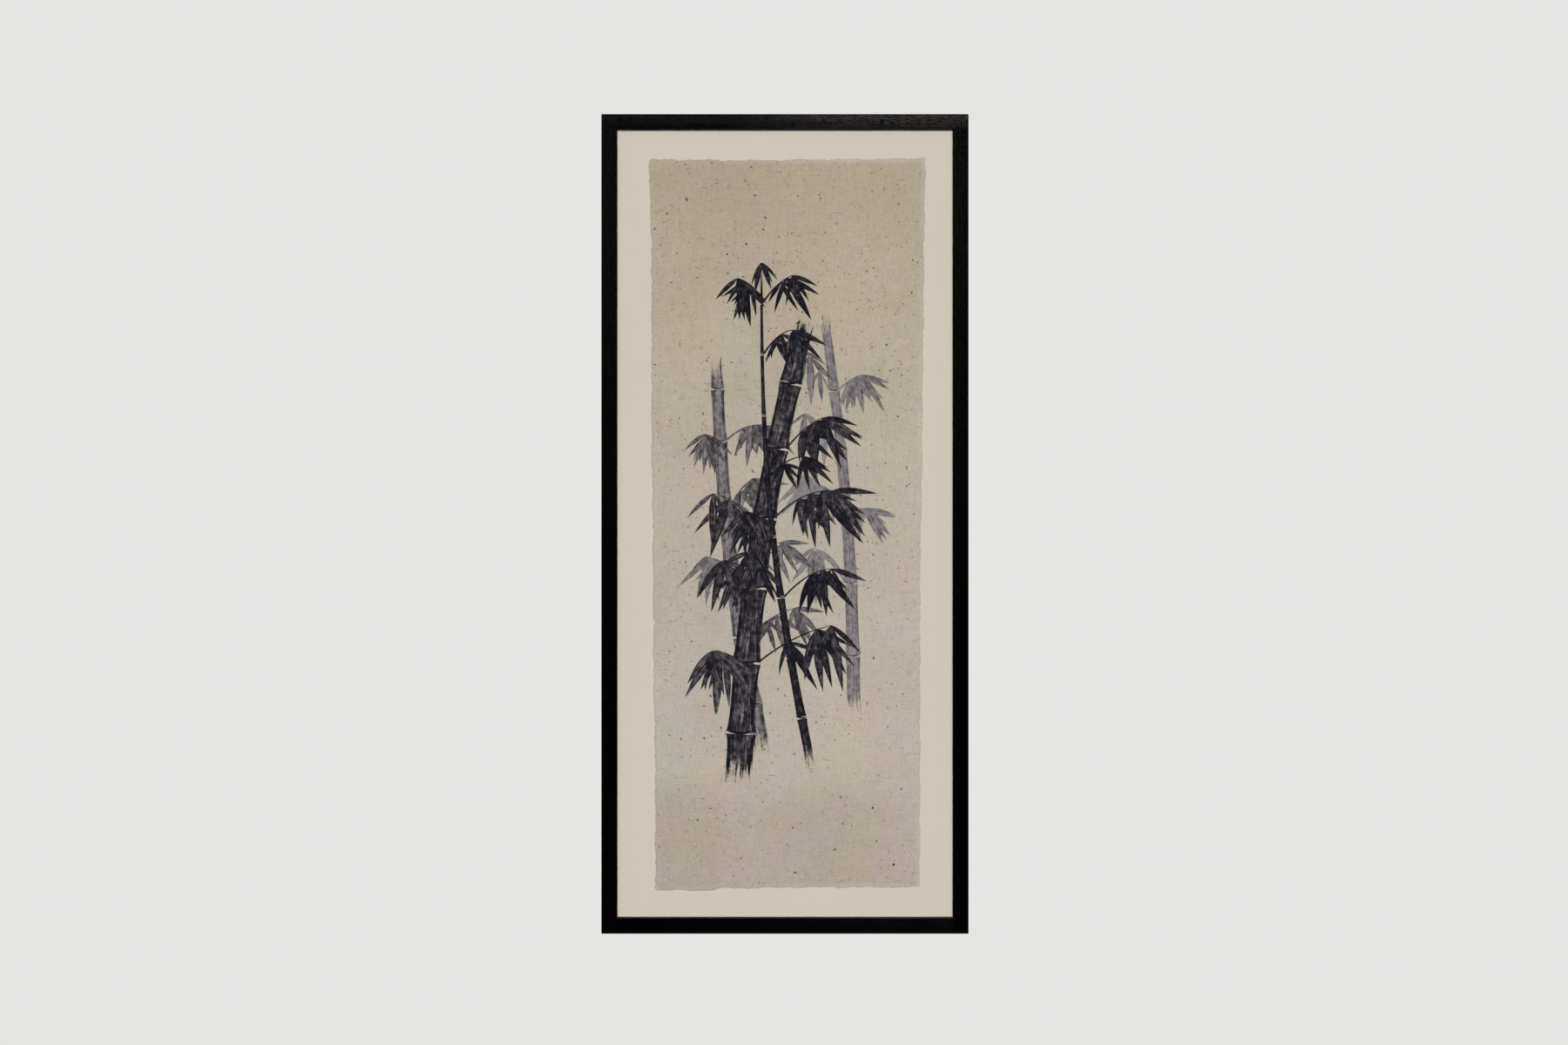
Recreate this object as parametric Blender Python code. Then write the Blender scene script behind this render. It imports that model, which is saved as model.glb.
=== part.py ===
"""A tall framed print: a slim black wood frame, clear glazing, a cream mount board and a handmade paper
sheet floated on it, with the backing board, its tabs and the hangers behind.

Metres, +Z up. Seen from the front, +X is to the right, and the front faces -Y. The origin is on the back of
the top rail, at the middle of its length, where the frame rests against the wall.
"""

import math

import bmesh
import bpy
from mathutils import Vector

# Frame moulding, with its rebate open to the back
FRAME_WIDTH = 0.468
FRAME_HEIGHT = 1.045
FRAME_DEPTH = 0.032
RAIL_FACE = 0.020
REBATE_WIDTH = 0.006
LIP_DEPTH = 0.005
ARRIS_RADIUS = 0.0008
ARRIS_STEPS = 3

# What touches keeps this gap
GAP = 0.0003
REBATE_CLEARANCE = 0.001

# The stack behind the lip, front to back
GLAZING_THICKNESS = 0.002
SPACER_DEPTH = 0.0032
SPACER_WIDTH = 0.0045
MOUNT_BOARD_THICKNESS = 0.0025
SHEET_THICKNESS = 0.0006
BACKING_THICKNESS = 0.003

# Each edge of the paper sheet as (along, across) from the frame's centre, where its line bends
SHEET_TOP = ((-0.1735, 0.466), (-0.050, 0.465), (0.060, 0.466), (0.160, 0.467), (0.1795, 0.469))
SHEET_RIGHT = ((0.469, 0.1795), (0.325, 0.1775), (0.100, 0.1755), (-0.075, 0.1727), (-0.465, 0.1725))
SHEET_BOTTOM = ((0.1725, -0.465), (0.040, -0.465), (-0.075, -0.466), (-0.100, -0.469), (-0.1655, -0.469))
SHEET_LEFT = (
    (-0.469, -0.1655),
    (-0.300, -0.166),
    (-0.200, -0.168),
    (0.000, -0.169),
    (0.100, -0.1705),
    (0.325, -0.1705),
    (0.466, -0.1735),
)
SHEET_CORNER = 0.003
SHEET_STEP = 0.010
# The deckle edge as waves of (height, length, start)
DECKLE_WAVES = ((0.00045, 0.0610, 0.4), (0.00030, 0.0270, 1.9), (0.00020, 0.0113, 4.1))

# Flat steel tabs that hold the backing board
TAB_THICKNESS = 0.0006
TAB_WIDTH = 0.009
TAB_ON_BOARD = 0.010
TAB_IN_WOOD = 0.0055
TAB_TIP_WIDTH = 0.006
TAB_CORNER = 0.0015
RAIL_TAB_PLACES = (-0.140, 0.0, 0.140)
STILE_TAB_PLACES = (-0.400, -0.200, 0.0, 0.200, 0.400)

# Hangers: a strap and a ring on the inner side of each stile, within the recess
HANGER_DROP = 0.260
HANGER_DEPTH = -0.0072
STRAP_WIDTH = 0.0082
STRAP_LENGTH = 0.024
STRAP_THICKNESS = 0.0016
BARREL_RADIUS = 0.0023
BARREL_OFF_WALL = 0.0024
RING_WIRE_RADIUS = 0.0010
RING_SIDE = 0.0056
RING_STRAIGHT = 0.006
RING_BEND = 0.0014
RING_LEAN = math.radians(30)
SCREW_DROP = 0.014
SCREW_RADIUS = 0.00125
SCREW_LENGTH = 0.009
SCREW_POINT = 0.0025
SCREW_HEAD_RADIUS = 0.0032
SCREW_HEAD_RIM = 0.0006
SCREW_HEAD_HEIGHT = 0.0019
CROSS_LENGTH = 0.0034
CROSS_WIDTH = 0.0008
CROSS_DEPTH = 0.0010
ROUND_SIDES = 20

# What follows from these
STILE_WALL = FRAME_WIDTH / 2 - RAIL_FACE + REBATE_WIDTH
RAIL_WALL = FRAME_HEIGHT / 2 - RAIL_FACE + REBATE_WIDTH
PANE_X = STILE_WALL - REBATE_CLEARANCE
PANE_Z = RAIL_WALL - REBATE_CLEARANCE
GLAZING_FRONT = LIP_DEPTH - FRAME_DEPTH + GAP
GLAZING_BACK = GLAZING_FRONT + GLAZING_THICKNESS
SPACER_FRONT = GLAZING_BACK + GAP
SPACER_BACK = SPACER_FRONT + SPACER_DEPTH
MOUNT_FRONT = SPACER_BACK + GAP
MOUNT_BACK = MOUNT_FRONT + MOUNT_BOARD_THICKNESS
SHEET_BACK = MOUNT_FRONT - GAP
SHEET_FRONT = SHEET_BACK - SHEET_THICKNESS
BACKING_FRONT = MOUNT_BACK + GAP
BACKING_BACK = BACKING_FRONT + BACKING_THICKNESS
TAB_FRONT = BACKING_BACK + GAP
TAB_BACK = TAB_FRONT + TAB_THICKNESS
ORIGIN_ABOVE_CENTRE = FRAME_HEIGHT / 2 - (RAIL_FACE - REBATE_WIDTH) / 2
HANGER_HEIGHT = FRAME_HEIGHT / 2 - HANGER_DROP


def clear_scene():
    for item in list(bpy.data.objects):
        bpy.data.objects.remove(item)


def linear(channel):
    """One 0 to 255 colour channel as linear light."""
    share = channel / 255
    return share / 12.92 if share <= 0.04045 else ((share + 0.055) / 1.055) ** 2.4


def finish(name, colour, roughness, metallic=0.0, alpha=1.0):
    material = bpy.data.materials.new(name)
    material.use_nodes = True
    surface = material.node_tree.nodes["Principled BSDF"]
    surface.inputs["Base Color"].default_value = (*(linear(channel) for channel in colour), 1.0)
    surface.inputs["Roughness"].default_value = roughness
    surface.inputs["Metallic"].default_value = metallic
    surface.inputs["Alpha"].default_value = alpha
    return material


def solid_between(name, first, second):
    """A closed mesh between two matching outlines, with a flat cap on each."""
    count = len(first)
    sides = [(i, (i + 1) % count, count + (i + 1) % count, count + i) for i in range(count)]
    caps = [tuple(range(count)), tuple(range(count, 2 * count))]
    mesh = bpy.data.meshes.new(name)
    mesh.from_pydata([*first, *second], [], [*sides, *caps])
    return facing_out(mesh)


def facing_out(mesh):
    shape = bmesh.new()
    shape.from_mesh(mesh)
    bmesh.ops.recalc_face_normals(shape, faces=shape.faces)
    shape.to_mesh(mesh)
    shape.free()
    return mesh


def pushed(name, outline, push):
    """A flat outline pushed along a vector."""
    return solid_between(name, outline, [tuple(Vector(point) + Vector(push)) for point in outline])


def block(name, low, high):
    left, front, bottom = low
    right, back, top = high
    outline = [(left, front, bottom), (right, front, bottom), (right, front, top), (left, front, top)]
    return pushed(name, outline, (0, back - front, 0))


def rod(name, radius, low, high, axis):
    """A round rod along X or Y between two places on that axis."""
    angles = [2 * math.pi * (i + 0.5) / ROUND_SIDES for i in range(ROUND_SIDES)]
    if axis == "X":
        outline = [(low, radius * math.cos(a), radius * math.sin(a)) for a in angles]
        push = (high - low, 0, 0)
    else:
        outline = [(radius * math.cos(a), low, radius * math.sin(a)) for a in angles]
        push = (0, high - low, 0)
    return pushed(name, outline, push)


def turned(name, profile):
    """A profile of (along X, radius) turned round the X axis. Its first and last radius are 0."""
    shape = bmesh.new()
    points = [shape.verts.new((along, 0, radius)) for along, radius in profile]
    edges = [shape.edges.new(pair) for pair in zip(points, points[1:])]
    bmesh.ops.spin(
        shape,
        geom=[*points, *edges],
        cent=(0, 0, 0),
        axis=(1, 0, 0),
        angle=2 * math.pi,
        steps=ROUND_SIDES,
        use_merge=True,
    )
    bmesh.ops.remove_doubles(shape, verts=shape.verts, dist=1e-6)
    mesh = bpy.data.meshes.new(name)
    shape.to_mesh(mesh)
    shape.free()
    return facing_out(mesh)


def add(name, data, material, parent, location=(0, 0, 0), turn_y=0.0, turn_z=0.0):
    item = bpy.data.objects.new(name, data)
    item.data.materials.append(material)
    item.location = location
    item.rotation_euler = (0, turn_y, turn_z)
    item.parent = parent
    bpy.context.collection.objects.link(item)
    return item


def shade_round(mesh):
    mesh.shade_smooth()
    mesh.set_sharp_from_angle(angle=math.radians(35))


def combine(target, mesh, operation):
    """Joins a mesh to the target, or cuts it out of it, in the target's own axes."""
    tool = bpy.data.objects.new(f"{target.name}_{operation.lower()}_{len(target.modifiers)}", mesh)
    tool.parent = target
    tool.hide_render = True
    tool.display_type = "WIRE"
    bpy.context.collection.objects.link(tool)
    modifier = target.modifiers.new(operation, "BOOLEAN")
    modifier.object = tool
    modifier.operation = operation
    modifier.solver = "EXACT"


def moulding_profile():
    """The moulding's section as (inset from the outer edge, depth), with rounded front arrises."""
    turns = [math.pi / 2 * i / ARRIS_STEPS for i in range(ARRIS_STEPS + 1)]
    outer = [
        (ARRIS_RADIUS * (1 - math.cos(turn)), -FRAME_DEPTH + ARRIS_RADIUS * (1 - math.sin(turn)))
        for turn in turns
    ]
    inner = [(RAIL_FACE - inset, depth) for inset, depth in reversed(outer)]
    rebate = [
        (RAIL_FACE, LIP_DEPTH - FRAME_DEPTH),
        (RAIL_FACE - REBATE_WIDTH, LIP_DEPTH - FRAME_DEPTH),
        (RAIL_FACE - REBATE_WIDTH, 0.0),
    ]
    return [(0.0, 0.0), *outer, *inner, *rebate]


def add_rail(name, length, reach, turn, tab_places, wood, parent):
    """One mitred length of moulding, modelled as the top rail and turned about the frame's centre."""
    joint = GAP / 2 * math.sqrt(2)
    ends = []
    for side in (-1, 1):
        end = [(side * (length / 2 - inset - joint), depth, reach - inset) for inset, depth in moulding_profile()]
        ends.append(end)
    rail = add(name, solid_between(name, *ends), wood, parent, turn_y=turn)
    wall = reach - RAIL_FACE + REBATE_WIDTH
    for place in tab_places:
        low = (place - TAB_WIDTH / 2 - GAP, TAB_FRONT - GAP, wall - REBATE_WIDTH / 2)
        high = (place + TAB_WIDTH / 2 + GAP, TAB_BACK + GAP, wall + TAB_IN_WOOD + GAP)
        combine(rail, block(f"{name}_slot", low, high), "DIFFERENCE")
    return rail


def add_tab(name, place, wall, turn, steel, parent):
    """One tab, modelled under the top rail: its tip is in the rail's slot, the rest lies on the board."""
    half = TAB_WIDTH / 2
    outline = [
        (place - TAB_TIP_WIDTH / 2, TAB_FRONT, wall + TAB_IN_WOOD),
        (place + TAB_TIP_WIDTH / 2, TAB_FRONT, wall + TAB_IN_WOOD),
        (place + half, TAB_FRONT, wall + TAB_IN_WOOD / 2),
        (place + half, TAB_FRONT, wall - TAB_ON_BOARD + TAB_CORNER),
        (place + half - TAB_CORNER, TAB_FRONT, wall - TAB_ON_BOARD),
        (place - half + TAB_CORNER, TAB_FRONT, wall - TAB_ON_BOARD),
        (place - half, TAB_FRONT, wall - TAB_ON_BOARD + TAB_CORNER),
        (place - half, TAB_FRONT, wall + TAB_IN_WOOD / 2),
    ]
    add(name, pushed(name, outline, (0, TAB_THICKNESS, 0)), steel, parent, turn_y=turn)


def add_frame(wood, steel, parent):
    sides = (
        ("top", "top_rail", FRAME_WIDTH, FRAME_HEIGHT / 2, RAIL_TAB_PLACES),
        ("right", "right_rail", FRAME_HEIGHT, FRAME_WIDTH / 2, STILE_TAB_PLACES),
        ("bottom", "bottom_rail", FRAME_WIDTH, FRAME_HEIGHT / 2, RAIL_TAB_PLACES),
        ("left", "left_rail", FRAME_HEIGHT, FRAME_WIDTH / 2, STILE_TAB_PLACES),
    )
    rails = {}
    for quarter, (side, name, length, reach, tab_places) in enumerate(sides):
        turn = quarter * math.pi / 2
        rails[side] = add_rail(name, length, reach, turn, tab_places, wood, parent)
        wall = reach - RAIL_FACE + REBATE_WIDTH
        for number, place in enumerate(tab_places, start=1):
            add_tab(f"{side}_tab_{number}", place, wall, turn, steel, parent)
    return rails


def add_panes(glass, cream, brown, parent):
    """The glazing, the mount board and the backing board."""
    panes = (
        ("glazing", GLAZING_FRONT, GLAZING_BACK, glass),
        ("mount_board", MOUNT_FRONT, MOUNT_BACK, cream),
        ("backing_board", BACKING_FRONT, BACKING_BACK, brown),
    )
    for name, front, back, material in panes:
        add(name, block(name, (-PANE_X, front, -PANE_Z), (PANE_X, back, PANE_Z)), material, parent)


def add_spacers(black, parent):
    """Four strips under the lip that hold the glazing off the sheet."""
    inner_x = PANE_X - SPACER_WIDTH
    inner_z = PANE_Z - SPACER_WIDTH
    strips = (
        ("left_spacer", -PANE_X, -inner_x, -PANE_Z, PANE_Z),
        ("right_spacer", inner_x, PANE_X, -PANE_Z, PANE_Z),
        ("bottom_spacer", GAP - inner_x, inner_x - GAP, -PANE_Z, -inner_z),
        ("top_spacer", GAP - inner_x, inner_x - GAP, inner_z, PANE_Z),
    )
    for name, left, right, bottom, top in strips:
        add(name, block(name, (left, SPACER_FRONT, bottom), (right, SPACER_BACK, top)), black, parent)


def between_knots(knots, along):
    """How far across an edge lies at one place along it, with smooth bends at its knots."""
    for (start, first), (end, second) in zip(knots, knots[1:]):
        share = (along - start) / (end - start)
        if share <= 1:
            break
    eased = share * share * (3 - 2 * share)
    return first + (second - first) * eased


def deckle(run):
    """The torn edge's offset at a run along the sheet's outline."""
    return sum(height * math.sin(2 * math.pi * run / length + start) for height, length, start in DECKLE_WAVES)


def sheet_outline(step):
    """The sheet's outline from the top left corner, clockwise seen from the front, as (x, z)."""
    outline = []
    run = 0.0
    edges = ((SHEET_TOP, False), (SHEET_RIGHT, True), (SHEET_BOTTOM, False), (SHEET_LEFT, True))
    for knots, upright in edges:
        start = knots[0][0]
        end = knots[-1][0]
        forward = 1 if end > start else -1
        length = abs(end - start) - 2 * SHEET_CORNER
        count = round(length / step)
        for i in range(count + 1):
            distance = SHEET_CORNER + length * i / count
            along = start + forward * distance
            across = between_knots(knots, along) + deckle(run + distance)
            outline.append((across, along) if upright else (along, across))
        run += length + 2 * SHEET_CORNER
    return outline


def add_sheet(paper, parent):
    outline = [(x, SHEET_FRONT, z) for x, z in sheet_outline(SHEET_STEP)]
    add("print_sheet", pushed("print_sheet", outline, (0, SHEET_THICKNESS, 0)), paper, parent)


def strap_mesh():
    """The strap's plate, flat on the wall at X = 0, with its lower end round."""
    half = STRAP_WIDTH / 2
    turns = [math.pi * i / 10 for i in range(11)]
    foot = [(0, -half * math.cos(turn), half - STRAP_LENGTH - half * math.sin(turn)) for turn in turns]
    return pushed("strap_plate", [*foot, (0, half, 0), (0, -half, 0)], (STRAP_THICKNESS, 0, 0))


def moved(mesh, offset):
    for vertex in mesh.vertices:
        vertex.co += Vector(offset)
    return mesh


def add_strap(name, place, turn, steel, parent):
    plate = strap_mesh()
    shade_round(plate)
    strap = add(name, plate, steel, parent, place, turn_z=turn)
    hinge = (BARREL_OFF_WALL, 0, 0)
    half = STRAP_WIDTH / 2
    barrel = moved(rod(f"{name}_barrel", BARREL_RADIUS, -half, half, "Y"), hinge)
    combine(strap, barrel, "UNION")
    wire_hole = moved(rod(f"{name}_wire_hole", RING_WIRE_RADIUS + GAP, -2 * half, 2 * half, "Y"), hinge)
    combine(strap, wire_hole, "DIFFERENCE")
    screw_hole = rod(f"{name}_screw_hole", SCREW_RADIUS + GAP, -STRAP_THICKNESS, 2 * STRAP_THICKNESS, "X")
    combine(strap, moved(screw_hole, (0, 0, -SCREW_DROP)), "DIFFERENCE")


def ring_route():
    """The ring's centre line round its plane, as (across, up), with its bar at height 0."""
    route = []
    top = RING_STRAIGHT
    for i in range(13):
        turn = math.pi * i / 12
        route.append((RING_SIDE * math.cos(turn), top + RING_SIDE * math.sin(turn)))
    for side, first in ((-1, math.pi), (1, 1.5 * math.pi)):
        centre = (side * (RING_SIDE - RING_BEND), RING_BEND)
        for i in range(5):
            turn = first + math.pi / 2 * i / 4
            route.append((centre[0] + RING_BEND * math.cos(turn), centre[1] + RING_BEND * math.sin(turn)))
    return route


def add_ring(name, place, turn, steel, parent):
    """The ring through the strap's barrel, leaning up and inward."""
    curve = bpy.data.curves.new(name, "CURVE")
    curve.dimensions = "3D"
    curve.bevel_depth = RING_WIRE_RADIUS
    curve.bevel_resolution = 2
    spline = curve.splines.new("POLY")
    route = ring_route()
    spline.points.add(len(route) - 1)
    for point, (across, up) in zip(spline.points, route):
        point.co = (up * math.sin(RING_LEAN), across, up * math.cos(RING_LEAN), 1)
    spline.use_cyclic_u = True
    add(name, curve, steel, parent, place, turn_z=turn)


def add_screw(name, place, turn, steel, parent):
    """A round-headed screw through the strap into the stile, with a cross in its head."""
    under = STRAP_THICKNESS + GAP
    tip = under - SCREW_LENGTH
    profile = [(tip, 0), (tip + SCREW_POINT, SCREW_RADIUS), (under, SCREW_RADIUS), (under, SCREW_HEAD_RADIUS)]
    for i in range(5):
        turn_up = math.pi / 2 * i / 4
        dome = SCREW_HEAD_HEIGHT - SCREW_HEAD_RIM
        radius = 0 if i == 4 else SCREW_HEAD_RADIUS * math.cos(turn_up)
        profile.append((under + SCREW_HEAD_RIM + dome * math.sin(turn_up), radius))
    mesh = turned(name, profile)
    shade_round(mesh)
    screw = add(name, mesh, steel, parent, place, turn_z=turn)
    top = under + SCREW_HEAD_HEIGHT
    outline = [(top - CROSS_DEPTH, y, z) for y, z in cross_outline()]
    combine(screw, pushed(f"{name}_cross", outline, (2 * CROSS_DEPTH, 0, 0)), "DIFFERENCE")


def cross_outline():
    """The cross in a screw's head, as four arms of three points each."""
    long = CROSS_LENGTH / 2
    thin = CROSS_WIDTH / 2
    outline = []
    for quarter in range(4):
        turn = math.pi / 2 * quarter
        for y, z in ((thin, long), (-thin, long), (-thin, thin)):
            outline.append((y * math.cos(turn) - z * math.sin(turn), y * math.sin(turn) + z * math.cos(turn)))
    return outline


def add_hangers(rails, steel, parent):
    """A strap, a ring and a screw on each stile, and the screw's hole in the stile."""
    for side, sign, turn in (("left", -1, 0.0), ("right", 1, math.pi)):
        wall = (sign * (STILE_WALL - GAP), HANGER_DEPTH, HANGER_HEIGHT)
        add_strap(f"{side}_hanger_strap", wall, turn, steel, parent)
        hinge = (wall[0] - sign * BARREL_OFF_WALL, wall[1], wall[2])
        add_ring(f"{side}_hanger_ring", hinge, turn, steel, parent)
        screw = (wall[0], wall[1], wall[2] - SCREW_DROP)
        add_screw(f"{side}_hanger_screw", screw, turn, steel, parent)
        drill_stile(rails[side], side, screw)


def drill_stile(rail, side, screw):
    """The screw's hole, in the axes of a rail that is modelled as the top one."""
    sign = -1 if side == "left" else 1
    depth = SCREW_LENGTH + GAP
    mesh = rod(f"{side}_pilot", SCREW_RADIUS + GAP, -depth, depth, "X")
    for vertex in mesh.vertices:
        x, y, z = Vector(vertex.co) + Vector(screw)
        vertex.co = (-sign * z, y, sign * x)
    combine(rail, facing_out(mesh), "DIFFERENCE")


def build():
    clear_scene()
    wood = finish("black_stained_wood", (14, 13, 12), 0.55)
    glass = finish("clear_glazing", (240, 242, 240), 0.05, alpha=0.1)
    black = finish("black_spacer", (18, 18, 18), 0.6)
    cream = finish("cream_board", (207, 198, 183), 0.9)
    paper = finish("handmade_paper", (182, 172, 155), 0.95)
    brown = finish("brown_backing", (134, 108, 78), 0.85)
    steel = finish("plated_steel", (176, 176, 172), 0.35, metallic=1.0)

    centre = bpy.data.objects.new("frame_centre", None)
    centre.location = (0, 0, -ORIGIN_ABOVE_CENTRE)
    bpy.context.collection.objects.link(centre)

    rails = add_frame(wood, steel, centre)
    add_panes(glass, cream, brown, centre)
    add_spacers(black, centre)
    add_sheet(paper, centre)
    add_hangers(rails, steel, centre)


build()
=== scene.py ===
"""The looks of a tall framed print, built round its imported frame.

Metres, +Z up, +X to the right seen from the front, and the front faces -Y. The paper sheet and the two rings
are modelled anew. All else keeps its shape from the frame and gets its look here.
"""

import random
from collections import namedtuple
from math import copysign, cos, pi, radians, sin

import bpy
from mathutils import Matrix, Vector, noise
from mathutils.geometry import delaunay_2d_cdt


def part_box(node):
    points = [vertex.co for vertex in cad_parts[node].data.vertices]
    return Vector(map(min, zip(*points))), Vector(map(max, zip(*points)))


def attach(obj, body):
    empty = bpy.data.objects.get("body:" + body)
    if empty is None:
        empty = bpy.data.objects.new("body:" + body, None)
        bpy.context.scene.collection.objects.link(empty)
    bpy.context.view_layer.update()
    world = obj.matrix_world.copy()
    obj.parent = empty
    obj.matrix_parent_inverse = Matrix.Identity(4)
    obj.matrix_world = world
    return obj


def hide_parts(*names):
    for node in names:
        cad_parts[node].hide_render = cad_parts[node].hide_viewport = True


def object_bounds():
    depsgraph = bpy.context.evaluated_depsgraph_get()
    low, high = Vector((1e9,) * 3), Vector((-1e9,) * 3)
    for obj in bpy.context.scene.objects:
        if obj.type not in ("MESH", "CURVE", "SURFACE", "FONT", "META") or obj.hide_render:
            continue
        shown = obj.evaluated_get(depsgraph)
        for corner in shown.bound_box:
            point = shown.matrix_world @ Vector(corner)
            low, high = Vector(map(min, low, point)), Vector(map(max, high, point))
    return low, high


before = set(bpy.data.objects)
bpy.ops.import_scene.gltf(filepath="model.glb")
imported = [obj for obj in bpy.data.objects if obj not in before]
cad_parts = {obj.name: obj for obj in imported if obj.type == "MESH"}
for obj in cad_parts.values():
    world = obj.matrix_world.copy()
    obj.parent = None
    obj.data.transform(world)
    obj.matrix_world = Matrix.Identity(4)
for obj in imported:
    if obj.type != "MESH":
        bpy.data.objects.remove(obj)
CAD_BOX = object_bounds()
CENTRE = (CAD_BOX[0] + CAD_BOX[1]) / 2

# The photograph's view, straight in front of the frame. Lens and sensor are in millimetres
PHOTO_WIDTH = 1800
PHOTO_HEIGHT = 1200
FRAME_CENTRE_PIXEL = (901.1, 601.6)
CAMERA_DISTANCE = 3.0
LENS = 54.06
SENSOR = 36.0

# The stage
FLOOR_BELOW_CENTRE = 1.55
FLOOR_SIDE = 5.0
FLOOR_FRONT = -6.0
FLOOR_BACK = 3.4
FLOOR_ROUGHNESS = 0.8
# How strongly the floor glows of its own, and what share of its colour answers to light
FLOOR_GLOW = 0.92
FLOOR_LIT = 0.2
# The strength of an even light from all round
AMBIENT = 0.04
# Mirrored, the studio is dark towards -Y, and it grows pale between these Y parts of a direction
DARK_SIDE = (-0.85, -0.30)
# Even light from far in front: watts on a square metre, and how wide it looks
FRONT_LIGHT = 3.10
FRONT_WIDTH = radians(9)
# Soft windows: place from the frame's centre, width and height, power in watts, and whether it is mirrored
WINDOWS = {
    "left_window": ((-1.35, -3.1, 0.1), (1.2, 2.0), 2.5, False),
    "right_window": ((1.35, -3.1, 0.1), (1.2, 2.0), 2.5, False),
    "upper_window": ((0.1, -2.3, 1.9), (2.4, 0.8), 2.0, False),
    "left_side_window": ((-2.4, 0.65, 0.1), (1.2, 2.0), 30.0, True),
    "right_side_window": ((2.4, 0.65, 0.1), (1.2, 2.0), 30.0, True),
    "back_left_window": ((-1.5, 2.6, 0.7), (1.4, 2.0), 42.0, False),
    "back_right_window": ((1.5, 2.6, 0.7), (1.4, 2.0), 42.0, False),
}

# The paper sheet: each edge as (along, across) from the frame's centre, where its line bends
SHEET_TOP = ((-0.1735, 0.466), (-0.050, 0.465), (0.060, 0.466), (0.160, 0.467), (0.1795, 0.469))
SHEET_RIGHT = ((0.469, 0.1795), (0.325, 0.1775), (0.100, 0.1755), (-0.075, 0.1727), (-0.465, 0.1725))
SHEET_BOTTOM = ((0.1725, -0.465), (0.040, -0.465), (-0.075, -0.466), (-0.100, -0.469), (-0.1655, -0.469))
SHEET_LEFT = (
    (-0.469, -0.1655), (-0.300, -0.166), (-0.200, -0.168), (0.000, -0.169), (0.100, -0.1705),
    (0.325, -0.1705), (0.466, -0.1735),
)
# The edges clockwise from the top left corner, and whether each is upright
SHEET_EDGES = ((SHEET_TOP, False), (SHEET_RIGHT, True), (SHEET_BOTTOM, False), (SHEET_LEFT, True))
SHEET_CORNER = 0.003
CORNER_STEPS = 4
SHEET_STEP = 0.0006
# The deckle edge: the solid's waves of (height, length, start), and finer uneven teeth of (height, length)
DECKLE_WAVES = ((0.00045, 0.0610, 0.4), (0.00030, 0.0270, 1.9), (0.00020, 0.0113, 4.1))
DECKLE_TEETH = ((0.00100, 0.0090), (0.00090, 0.0036), (0.00085, 0.0016))
SHEET_THICKNESS = 0.0006
TORN_WIDTH = 0.0045
TORN_THICKNESS = 0.00015
SHEET_GRID = 0.008
RIM_STEPS = (0.0007, 0.0015, 0.0025, 0.0045, 0.0070)
# How the sheet lifts off the board, as waves of (height, length across, length up, start), and its flat rim
COCKLE_WAVES = ((0.00022, 0.190, 0.310, 0.6), (0.00012, 0.083, 0.140, 2.2))
FLAT_RIM = 0.030
# The sheet is cut in millimetres, and points nearer than this become one
MILLIMETRES = 1000
CUT_NEAREST = 0.005

# What the paper holds, by kind: how many, smallest and largest radius, darkness
FLECKS = {
    "faint": (1050, 0.00064, 0.00112, 0.42),
    "middle": (200, 0.00076, 0.00120, 0.68),
    "dark": (58, 0.00085, 0.00125, 0.95),
    "bark": (6, 0.00130, 0.00190, 0.97),
}
FLECK_SEED = 11
FLECK_SIDES = 8
# How long a fleck is, how its outline varies and how dark it is, as factors
FLECK_LENGTHS = (1.0, 1.9)
FLECK_WOBBLE = (0.8, 1.15)
FLECK_SHADES = (0.7, 1.05)
FIBRES = 60
FIBRE_DARKNESS = 0.60
FIBRE_SHADES = (0.6, 1.2)
FIBRE_LENGTHS = (0.005, 0.014)
FIBRE_TURN = 0.25
FIBRE_BEND = 0.25
FIBRE_HALVES = (0.00018, 0.00026, 0.00028, 0.00028, 0.00024, 0.00015)
# Where flecks and fibres lie, how far from the sheet's edge, and how thick at its foot beside its top
MARK_WIDTHS = (-0.173, 0.179)
MARK_HEIGHTS = (-0.469, 0.469)
MARK_MARGIN = 0.0022
FOOT_SHARE = 0.62

# The brush picture of bamboo, its culms from behind to in front: foot and top from the frame's centre, bend,
# half-widths, joints as shares of the height, a tone from 0, dark, to 1, pale, and branch and leaf lengths
Culm = namedtuple("Culm", "foot top bend foot_half top_half joints tone branch leaf")
CULMS = (
    Culm(
        (0.088, -0.246), (0.050, 0.268), 0.010, 0.0088, 0.0056,
        joints=(0.15, 0.33, 0.50, 0.66, 0.81), tone=0.74, branch=0.090, leaf=0.060,
    ),
    Culm(
        (-0.028, -0.296), (-0.088, 0.214), -0.012, 0.0108, 0.0072,
        joints=(0.13, 0.30, 0.47, 0.63, 0.79, 0.92), tone=0.58, branch=0.082, leaf=0.062,
    ),
    Culm(
        (-0.060, -0.334), (0.026, 0.262), -0.016, 0.0172, 0.0120,
        joints=(0.11, 0.26, 0.42, 0.57, 0.72, 0.86), tone=0.24, branch=0.105, leaf=0.078,
    ),
    Culm(
        (0.034, -0.312), (-0.030, 0.334), -0.020, 0.0060, 0.0012,
        joints=(0.10, 0.22, 0.34, 0.46, 0.58, 0.70, 0.82, 0.92), tone=0.10, branch=0.085, leaf=0.062,
    ),
)
BAMBOO_SEED = 5
THINNEST_HALF = 0.0003
CULM_STEPS = 8
CULM_GAP = 0.0014
CULM_FLARE = 0.16
CULM_DRY = 0.035
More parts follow.
